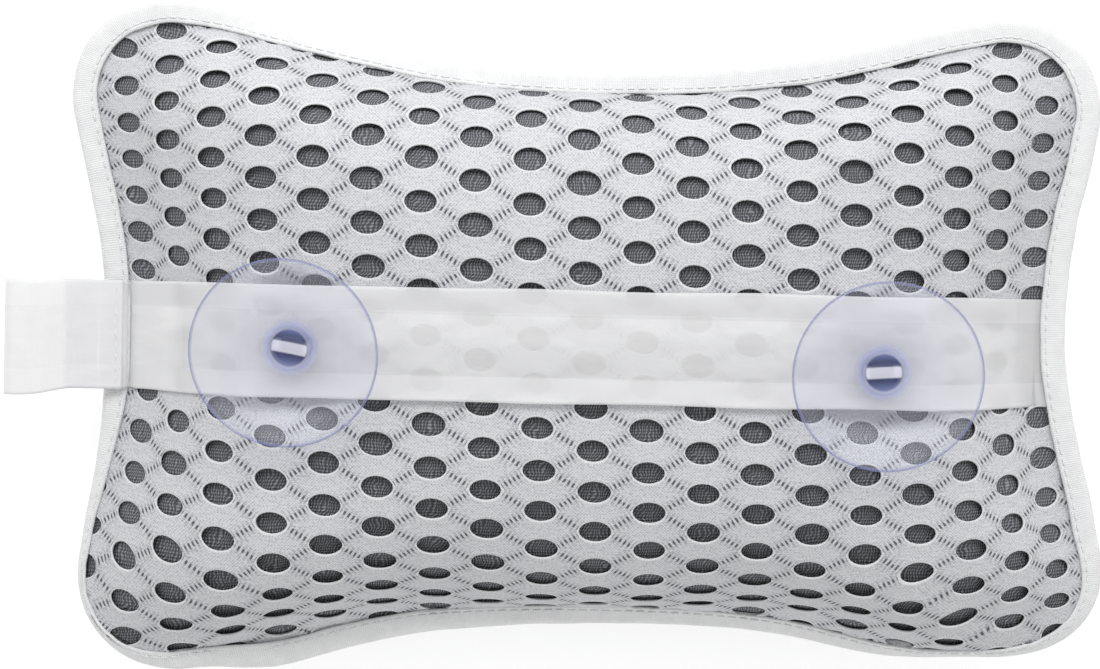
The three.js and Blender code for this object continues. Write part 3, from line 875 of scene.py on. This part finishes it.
def strapPlace(alongShare, acrossShare):
    x = strap["start"] + (strap["end"] - strap["start"]) * alongShare
    y = (acrossShare - 0.5) * strap["width"]
    free = plateau(strap["free"], x)
    sewn = strap["width"] / 2 - strap["hem"]  # the hem's seam draws the cloth down between the middle and the edge
    middle = strap["puff"] * np.clip(1 - (y / sewn) ** 2, 0, 1)
    edge = strap["hemRise"] * np.clip((np.abs(y) - sewn) / strap["hem"], 0, 1)
    level = strapLevel(x, y) + edge * free
    for name, (cupX, cupY) in cupPlaces.items():  # flat under each cup and leaning with it
        near = smoothStep(*strap["flatReach"], np.hypot(x - cupX, y - cupY))
        middle = middle * (1 - near)
        level = level + near * (y - cupY) * math.tan(math.radians(strap["lean"][name]))
    level = level + middle * free
    level = level + 0.35 * (ripple(x * 0.45, y * 1.6, 9, 2.2) + 0.3) * free
    gathers = np.sin(x * 2 * math.pi / strap["gatherPitch"]) * plateau(strap["gathers"], x)
    level = level + strap["gatherRise"] * gathers
    wander = 0.35 * ripple(x, 0 * y, 30, 8.8) * free * np.sign(y) * smoothStep(8, 15, np.abs(y))
    return np.stack([x, y + wander, level], -1), np.stack([x, y], -1) / 10


def cutSlot(bm, centre):
    length, width = strap["slot"]
    straight = (length - width) / 2

    def outward(vert):
        x, y = vert.co.x / mm - centre[0], vert.co.y / mm - centre[1]
        spine = min(max(x, -straight), straight)
        return x - spine, y, spine

    inSlot = [vert for vert in bm.verts if math.hypot(*outward(vert)[:2]) < width / 2 - 0.35]
    bmesh.ops.delete(bm, geom=inSlot, context="VERTS")
    for vert in bm.verts:
        x, y, spine = outward(vert)
        far = math.hypot(x, y)
        if vert.is_boundary and far < width / 2 + 1.6:  # pull the cut edge onto the slot's outline
            vert.co.x = (centre[0] + spine + x / far * width / 2) * mm
            vert.co.y = (centre[1] + y / far * width / 2) * mm


def strapCloth(name, look):
    material, tree = freshMaterial(name)
    uv, along, across = clothAxes(tree)
    hemEdge = (strap["width"] / 2 - strap["hem"]) / 10
    hem = fade(calc("ABSOLUTE", across), hemEdge - 0.02, hemEdge + 0.02)
    weave = calc("MULTIPLY", wave(along, 0.05), wave(across, 0.05))
    stretched = node(tree, "ShaderNodeVectorMath", uv, (0.5, 1.6, 1.0), operation="MULTIPLY")
    streak = speckle(stretched, 2.2, 3.0)
    height = scaled(weave, 0.2, streak)
    colour = mixColour(fade(streak, 0.7, 0.35), look["cloth"], look["shade"])
    # painted shade: the hems take a darker copy of the cloth colour
    colour = mixColour(hem, colour, look["shadedHemCloth"])
    creaseAt, sharp, soft = look["creaseAt"]
    fromCrease = calc("ABSOLUTE", calc("SUBTRACT", along, creaseAt))
    colour = mixColour(product(fade(fromCrease, soft, sharp), streak), colour, look["creaseShade"])
    cloth = surface(tree, height, 0.12, 0.5, colour=colour, roughness=0.6, gloss=0.3, sheen=0.1)
    clear = node(tree, "ShaderNodeBsdfTransparent")
    middle, hemmed, end = [1 - math.sqrt(1 - look[key]) for key in ("veil", "hemVeil", "endVeil")]  # two faces each
    veil = fade(hem, 0.0, 1.0, middle, hemmed)
    veil = calc("MAXIMUM", veil, fade(along, -9.8, -11.6, 0.0, end))
    return finishWith(material, node(tree, "ShaderNodeMixShader", veil, clear, cloth))


bm = gridSheet(266, 40, strapPlace)
for place in cupPlaces.values():
    cutSlot(bm, place)
turnTowards(bm, Vector((0, 0, 1)))
cupStrap = pieceFrom("cup_strap", bm, strapCloth("see_through_strap_cloth", strap))
addThickness(cupStrap, strap["thickness"], 0)
standsFor(cupStrap, "suction_cup_strap")

bm = bmesh.new()
for step in range(strap["endStitches"]):
    across = (step - (strap["endStitches"] - 1) / 2) * strap["endPitch"]
    addStitch(bm, (strap["endRow"], across, strap["overTape"] + strap["endLift"]), (0, 1), strap["endStitch"])
standsFor(pieceFrom("strap_end_stitches", bm, stitchFinish), "strap_end_thread")
print("strap done")

# Hanging loop: a strip of the strap's cloth, folded to a flat drop and sewn over the strap's end
loop = {
    "hinge": (-136.0184, 0, 34.35), "sewnTo": -128.6, "outerEnd": -161.3, "height": 7.4, "halfGap": 0.34,
    "width": (30.3, 32.0), "shift": -1.2, "thickness": 0.5, "flat": (0.032, 0.062),
    # the hems' colour is a darker copy of the cloth: painted shade on the hems
    "cloth": (0.975, 0.975, 0.978), "shade": (0.95, 0.95, 0.958), "shadedHemCloth": (0.96, 0.96, 0.966),
    "veil": 0.93, "hemVeil": 0.95, "endVeil": 0.93, "creaseAt": (0.75, 0.75, 0.95), "creaseShade": (0.82, 0.82, 0.86),
}


def loopPath():
    hingeX, _, hingeZ = loop["hinge"]
    half = loop["height"] / 2
    centre = loop["outerEnd"] + half
    top = hingeZ + 0.72
    reach = np.linspace(0, 1, 60)
    x = loop["sewnTo"] + (centre - loop["sewnTo"]) * reach
    swell = smoothStep(0, 1, (hingeX - 3 - x) / (hingeX - 3 - centre))
    upper = np.stack([x, top + (hingeZ + half - top) * swell], -1)
    turn = np.linspace(math.pi / 2, 3 * math.pi / 2, 24)[1:-1]
    end = np.stack([centre + half * np.cos(turn), hingeZ + half * np.sin(turn)], -1)
    backX = np.linspace(centre, hingeX + 0.4, 44)
    swell = smoothStep(0, 1, (hingeX - 3 - backX) / (hingeX - 3 - centre))
    lower = np.stack([backX, hingeZ - loop["halfGap"] - (half - loop["halfGap"]) * swell], -1)
    return np.concatenate([upper, end, lower])


loopPoints = loopPath()
loopWalk = np.concatenate([[0], np.cumsum(np.hypot(*np.diff(loopPoints, axis=0).T))])


def loopPlace(walkShare, acrossShare):
    walk = walkShare * loopWalk[-1]
    x, z = np.interp(walk, loopWalk, loopPoints[:, 0]), np.interp(walk, loopWalk, loopPoints[:, 1])
    out = np.clip((loop["hinge"][0] - x) / (loop["hinge"][0] - loop["outerEnd"]), 0, 1)
    width = loop["width"][0] + (loop["width"][1] - loop["width"][0]) * smoothStep(0.2, 0.9, out)
    across = acrossShare - 0.5
    y = across * width + loop["shift"] * smoothStep(0.25, 0.7, out)
    free = smoothStep(0.0, 0.3, out)
    crumple = 0.35 * ripple(x * 2.2, y * 0.6, 9, 6.1) + 0.15 * ripple(x * 3, y * 1.2, 4, 1.9)
    z = z + crumple * free
    return np.stack([x, y, z], -1), np.stack([walk, across * strap["width"]], -1) / 10


bm = gridSheet(110, 32, loopPlace)
turnTowards(bm, Vector((0, 0, 1)))
hangingLoop = pieceFrom("hanging_loop_cloth", bm, strapCloth("loop_cloth", loop))
addThickness(hangingLoop, loop["thickness"], 0)
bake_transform(hangingLoop)
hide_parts("hanging_loop")
print("hanging loop done")

# Suction cups: clear soft plastic, one moulding each, with a bored head that buttons through the strap
cup = {
    "radius": 25, "seat": 1.46, "depth": 11.5, "wall": 2.6, "lip": 0.9, "land": 1.0,
    "outsideCurve": 1.7, "insideCurve": 2, "collar": 5.5, "neck": 3.25, "fillet": 0.4,
    "head": 5.5, "headTop": -1.46, "headBottom": -7.46, "headRounding": (1.2, 0.6), "bore": 1.8,
    "segments": 84, "left": {"tilt": 9, "sway": -5, "turn": -9}, "right": {"tilt": 6, "sway": 0, "turn": 4},
    # on the head, the light colour is painted reflection and highlight, the darker cap colour near the band is
    # painted shade, and the ring colour round the head is painted blue shade
    "tint": (0.98, 0.982, 0.996), "haze": (0.75, 0.76, 0.87), "rim": (0.2, 0.22, 0.46), "shadedCapNearBand": (0.05, 0.065, 0.16),
    "cap": (0.15, 0.18, 0.38), "light": (0.82, 0.82, 0.94), "knobShadeRing": (0.45, 0.5, 0.78),
    "bellVeil": 0.08, "rimVeil": 0.4, "headVeil": 0.7, "shine": 0.4,
}


def arcPoints(centreX, centreZ, radius, first, last, count):
    angles = np.radians(np.linspace(first, last, count))
    return zip(centreX + radius * np.cos(angles), centreZ + radius * np.sin(angles))


# From the middle of the head's underside out to the lip and back down inside the bell: (radius, level)
def cupProfile():
    radius, depth, seat, collar, wall = (cup[key] for key in ("radius", "depth", "seat", "collar", "wall"))
    head, top, bottom, neck, fillet = (cup[key] for key in ("head", "headTop", "headBottom", "neck", "fillet"))
    (under, over), lip = cup["headRounding"], seat + depth
    out = np.linspace(0, 1, 19)
    outside = collar + (radius - collar) * out, seat + (depth - cup["lip"]) * out ** cup["outsideCurve"]
    back = out[::-1]
    inside = (radius - cup["land"]) * back, seat + wall + (depth - wall) * back ** cup["insideCurve"]
    return [
        (0, bottom),
        *arcPoints(head - under, bottom + under, under, -90, 0, 6),
        *arcPoints(head - over, top - over, over, 0, 90, 5),
        (neck + fillet, top), (neck, top + fillet),
        (neck, seat - fillet), (neck + fillet, seat), (collar - 0.3, seat),
        *zip(*outside),
        (radius, lip - 0.5), (radius - 0.12, lip - 0.15), (radius - 0.4, lip),
        *zip(*inside),
    ]


def bareCup(name):
    bm = bmesh.new()
    verts = [bm.verts.new((radius * mm, 0, level * mm)) for radius, level in cupProfile()]
    edges = [bm.edges.new(pair) for pair in zip(verts, verts[1:])]
    bmesh.ops.spin(bm, geom=verts + edges, cent=(0, 0, 0), axis=(0, 0, 1), angle=2 * math.pi,
                   steps=cup["segments"], use_merge=True)
    bmesh.ops.remove_doubles(bm, verts=bm.verts, dist=0.01 * mm)
    bmesh.ops.recalc_face_normals(bm, faces=bm.faces)
    return pieceFrom(name, bm)


def boreHead(piece):
    bm = bmesh.new()
    middle = (cup["headTop"] + cup["headBottom"]) / 2 * mm
    across = Matrix.Translation((0, 0, middle)) @ Matrix.Rotation(math.pi / 2, 4, "Y")
    bmesh.ops.create_cone(bm, cap_ends=True, segments=32, radius1=cup["bore"] * mm, radius2=cup["bore"] * mm,
                          depth=4 * cup["head"] * mm, matrix=across)
    cutter = pieceFrom("bore_cutter", bm)
    cut = piece.modifiers.new("bore", "BOOLEAN")
    cut.operation = "DIFFERENCE"
    cut.solver = "EXACT"
    cut.object = cutter
    applied(piece)
    bpy.data.objects.remove(cutter)


# The cup's own axes stay on it when it is leant, as its UV map
def keepAxes(mesh):
    points = np.array([vert.co for vert in mesh.vertices]) / mm
    corners = np.zeros(len(mesh.loops), int)
    mesh.loops.foreach_get("vertex_index", corners)
    layer = mesh.uv_layers.new(name="cloth")
    layer.data.foreach_set("uv", (points[corners, :2] / 10).astype(np.float32).ravel())


# Thin and clear in the bell, blue along its rim; the bored head shows as a light band between two deep blue caps, all
# painted on: the band and a thin ring round the head are painted reflection and highlight, the caps are the thick
# plastic's blue darkened toward the band as painted shade, and a ring of painted blue shade lies round the head
def clearPlastic():
    material, tree = freshMaterial("clear_soft_plastic")
    uv, across, upward = clothAxes(tree)
    radius = distance(across, upward)
    knob = fade(radius, 0.57, 0.54)
    # painted reflection: a light band along the bore across the head; painted highlight: a thin light ring at the
    # head's edge
    band = fade(calc("ABSOLUTE", upward), cup["bore"] / 10, cup["bore"] / 10 - 0.06)
    band = product(band, fade(radius, 0.52, 0.44))
    light = calc("MAXIMUM", band, fade(radius, 0.46, 0.52, 0.0, 0.45))
    rim = fade(radius, cup["radius"] / 10 - 0.1, cup["radius"] / 10 - 0.03)
    smear = speckle(uv, 1.6, 3.0)
    # painted shade: a ring of blue shade round the head, which also thickens the haze there
    knobShadeRing = fade(radius, 0.85, 0.56)
    colour = mixColour(rim, mixColour(knobShadeRing, cup["haze"], cup["knobShadeRing"]), cup["rim"])
    # the caps carry the thick plastic's blue, darkened toward the band as painted shade
    cap = mixColour(fade(calc("ABSOLUTE", upward), 0.2, 0.5), cup["shadedCapNearBand"], cup["cap"])
    colour = mixColour(knob, colour, mixColour(light, cap, cup["light"]))
    thin = fade(calc("MAXIMUM", rim, knobShadeRing), 0.0, 1.0, cup["bellVeil"], cup["rimVeil"])
    veil = scaled(knob, calc("SUBTRACT", cup["headVeil"], thin), thin)
    clear = node(tree, "ShaderNodeBsdfTransparent", (*cup["tint"], 1))
    body = surface(tree, smear, 0.1, 0.3, colour=colour, roughness=fade(smear, 0.3, 0.7, 0.08, 0.2), gloss=0.5)
    gloss = node(tree, "ShaderNodeBsdfGlossy", (1, 1, 1, 1), 0.16)
    facing = calc("SUBTRACT", 1.0, node(tree, "ShaderNodeNewGeometry", out=6))  # not on the far side of the wall
    shine = product(node(tree, "ShaderNodeFresnel", 1.42), facing, cup["shine"])
    hazy = node(tree, "ShaderNodeMixShader", veil, clear, body)
    return finishWith(material, node(tree, "ShaderNodeMixShader", shine, hazy, gloss))


plasticFinish = clearPlastic()
for name, (cupX, cupY) in cupPlaces.items():
    moulding = bareCup(name + "_cup_moulding")
    boreHead(moulding)
    keepAxes(moulding.data)
    tilt, sway, turn = (math.radians(cup[name][key]) for key in ("tilt", "sway", "turn"))
    leant = Matrix.Rotation(tilt, 4, "X") @ Matrix.Rotation(sway, 4, "Y") @ Matrix.Rotation(turn, 4, "Z")
    moulding.data.transform(Matrix.Translation(Vector((cupX, cupY, strap["levelAtCups"])) * mm) @ leant)
    moulding.data.shade_smooth()
    moulding.data.set_sharp_from_angle(angle=math.radians(40))
    moulding.data.materials.clear()
    moulding.data.materials.append(plasticFinish)
    standsFor(moulding, name + "_suction_cup", name + "_cup")
print("suction cups done")

# Floor, light and camera
studio = {
    "floor": (0.9, 0.9, 0.9), "glow": 0.5, "horizonLight": 1.0, "zenithLight": 0.46,
    "lamps": {"soft_lamp": (5.75, (1.5, 0.34), (0.02, 0.52, 0.66)), "fill_lamp": (0.5, (1.2, 0.15), (0, -0.7, 0.11))},
    "aim": (-0.00993, 0.00319, 0.065), "distance": 0.6032, "lean": 1.35, "roll": 1.2, "lens": 74.62,
}


def eitherRay(tree, *kinds):
    rays = tree.nodes.new("ShaderNodeLightPath").outputs
    seen = rays[f"Is {kinds[0]} Ray"]
    for kind in kinds[1:]:
        seen = calc("MAXIMUM", seen, rays[f"Is {kind} Ray"])
    return seen


def paleFloor():
    material, tree = freshMaterial("pale_floor")
    seen = eitherRay(tree, "Camera", "Glossy", "Transmission")
    grain = speckle(node(tree, "ShaderNodeTexCoord", out=3), 6.0)
    colour = mixColour(grain, studio["floor"], tuple(c * 0.99 for c in studio["floor"]))
    matt = surface(tree, colour=colour, roughness=0.9, gloss=0.1)
    glow = node(tree, "ShaderNodeEmission", (1, 1, 1, 1), product(seen, studio["glow"]))
    return finishWith(material, node(tree, "ShaderNodeAddShader", matt, glow))


bm = bmesh.new()
bmesh.ops.create_grid(bm, x_segments=4, y_segments=4, size=4)
bmesh.ops.translate(bm, verts=bm.verts, vec=(0, 0, -0.0004))
pieceFrom("studio_floor", bm, paleFloor())

world = bpy.data.worlds.new("studio")
scene.world = world
world.use_nodes = True
sky = world.node_tree
sky.nodes.clear()
seen = eitherRay(sky, "Camera", "Transmission")
height = node(sky, "ShaderNodeSeparateXYZ", node(sky, "ShaderNodeTexCoord"), out=2)
light = fade(height, 0.0, 1.0, studio["horizonLight"], studio["zenithLight"])
strength = scaled(seen, calc("SUBTRACT", 1.0, light), light)
background = node(sky, "ShaderNodeBackground", (1, 1, 1, 1), strength)
sky.links.new(background, sky.nodes.new("ShaderNodeOutputWorld").inputs[0])

for name, (power, size, at) in studio["lamps"].items():
    lamp = bpy.data.objects.new(name, bpy.data.lights.new(name, "AREA"))
    lamp.data.energy = power
    lamp.data.shape = "RECTANGLE"
    lamp.data.size, lamp.data.size_y = size
    lamp.location = at
    lamp.rotation_euler = Vector(at).to_track_quat("Z", "Y").to_euler()
    lamp.visible_camera = False
    scene.collection.objects.link(lamp)

camera = bpy.data.objects.new("camera", bpy.data.cameras.new("camera"))
backward = Vector((0, math.tan(math.radians(studio["lean"])), 1)).normalized()
right = Vector((1, 0, 0))
up = backward.cross(right)
roll = math.radians(studio["roll"])
right, up = math.cos(roll) * right + math.sin(roll) * up, math.cos(roll) * up - math.sin(roll) * right
turned = Matrix((right, up, backward)).transposed()
camera.matrix_world = Matrix.Translation(Vector(studio["aim"]) + studio["distance"] * backward) @ turned.to_4x4()
camera.data.sensor_width = 36
camera.data.lens = studio["lens"]
camera.data.clip_start = 0.01
scene.collection.objects.link(camera)
scene.camera = camera
scene.view_settings.view_transform = "Standard"
print("stage set")
